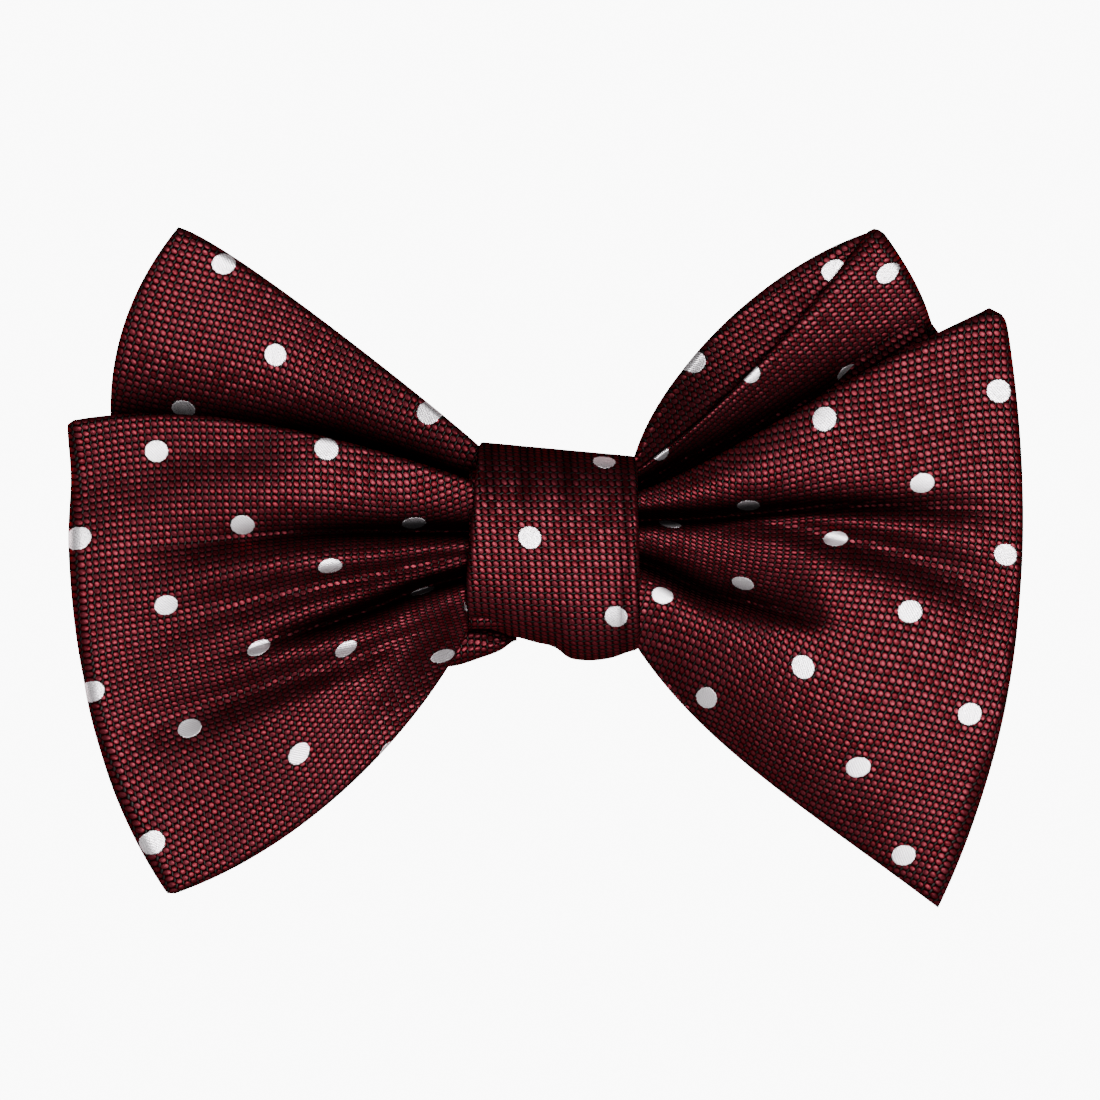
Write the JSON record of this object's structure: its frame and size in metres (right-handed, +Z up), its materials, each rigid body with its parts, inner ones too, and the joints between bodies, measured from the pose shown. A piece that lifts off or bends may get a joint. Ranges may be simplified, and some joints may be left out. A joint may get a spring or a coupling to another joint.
{
  "type": "bow tie",
  "caption": "Hand-tied butterfly bow tie in spotted basket-weave silk, with a neck strap, a strap slider and a hook and eye.",
  "frame": {"origin": "on the wearer's neck axis, halfway up the neck strap", "axes": "+Z up along the neck, +Y from the bow to the nape, +X to the right as the bow is seen from the front"},
  "size_m": [0.1299, 0.155, 0.0857],
  "materials": {
    "spotted_silk": "burgundy basket-weave silk with white woven spots",
    "lining_silk": "the same burgundy silk, on the strip's inner side",
    "interlining": "unbleached woven interlining, matte",
    "strap_silk": "burgundy basket-weave silk with white woven spots, folded and sewn",
    "nickel": "nickel-plated brass, lightly brushed"
  },
  "bodies": {
    "knot": {"wrap_face": "spotted_silk", "wrap_interlining": "interlining", "wrap_lining": "lining_silk", "front_waist": "spotted_silk", "back_waist": "spotted_silk", "under_turn": "spotted_silk", "half_knot_right_pass": "spotted_silk", "half_knot_left_pass": "spotted_silk", "right_neck_strap": "strap_silk", "left_neck_strap": "strap_silk", "strap_return": "strap_silk", "eye": "nickel"},
    "front_loop": {"front_loop_face": "spotted_silk", "front_loop_interlining": "interlining", "front_loop_lining": "lining_silk"},
    "front_end": {"front_end_face": "spotted_silk", "front_end_interlining": "interlining", "front_end_lining": "lining_silk"},
    "back_end": {"back_end_face": "spotted_silk", "back_end_interlining": "interlining", "back_end_lining": "lining_silk"},
    "back_loop": {"back_loop_face": "spotted_silk", "back_loop_interlining": "interlining", "back_loop_lining": "lining_silk"},
    "slider": {"slider": "nickel", "bar_sleeve": "strap_silk"},
    "hook": {"hook": "nickel"}
  },
  "joints": [
    {"name": "front_loop_flex", "type": "hinge", "parent": "knot", "child": "front_loop", "pos_m": [-0.0108, -0.086, 0], "axis": [0, 0, 1], "range_deg": [0, 20], "stiffness_Nm_per_rad": 0.01},
    {"name": "front_end_flex", "type": "hinge", "parent": "knot", "child": "front_end", "pos_m": [0.0108, -0.086, -0.001], "axis": [0, 0, -1], "range_deg": [0, 20], "stiffness_Nm_per_rad": 0.01},
    {"name": "back_end_flex", "type": "hinge", "parent": "knot", "child": "back_end", "pos_m": [-0.0108, -0.07, 0], "axis": [0, 0, -1], "range_deg": [0, 15], "stiffness_Nm_per_rad": 0.01},
    {"name": "back_loop_flex", "type": "hinge", "parent": "knot", "child": "back_loop", "pos_m": [0.0108, -0.07, 0], "axis": [0, 0, 1], "range_deg": [0, 15], "stiffness_Nm_per_rad": 0.01},
    {"name": "slider_travel", "type": "hinge", "parent": "knot", "child": "slider", "pos_m": [0, 0, 0], "axis": [0, 0, 1], "range_deg": [-40, 45], "deforming": ["strap_return"]},
    {"name": "hook_release", "type": "hinge", "parent": "knot", "child": "hook", "pos_m": [0.0114, 0.06298, 0], "axis": [0, 0, -1], "range_deg": [0, 60]}
  ]
}
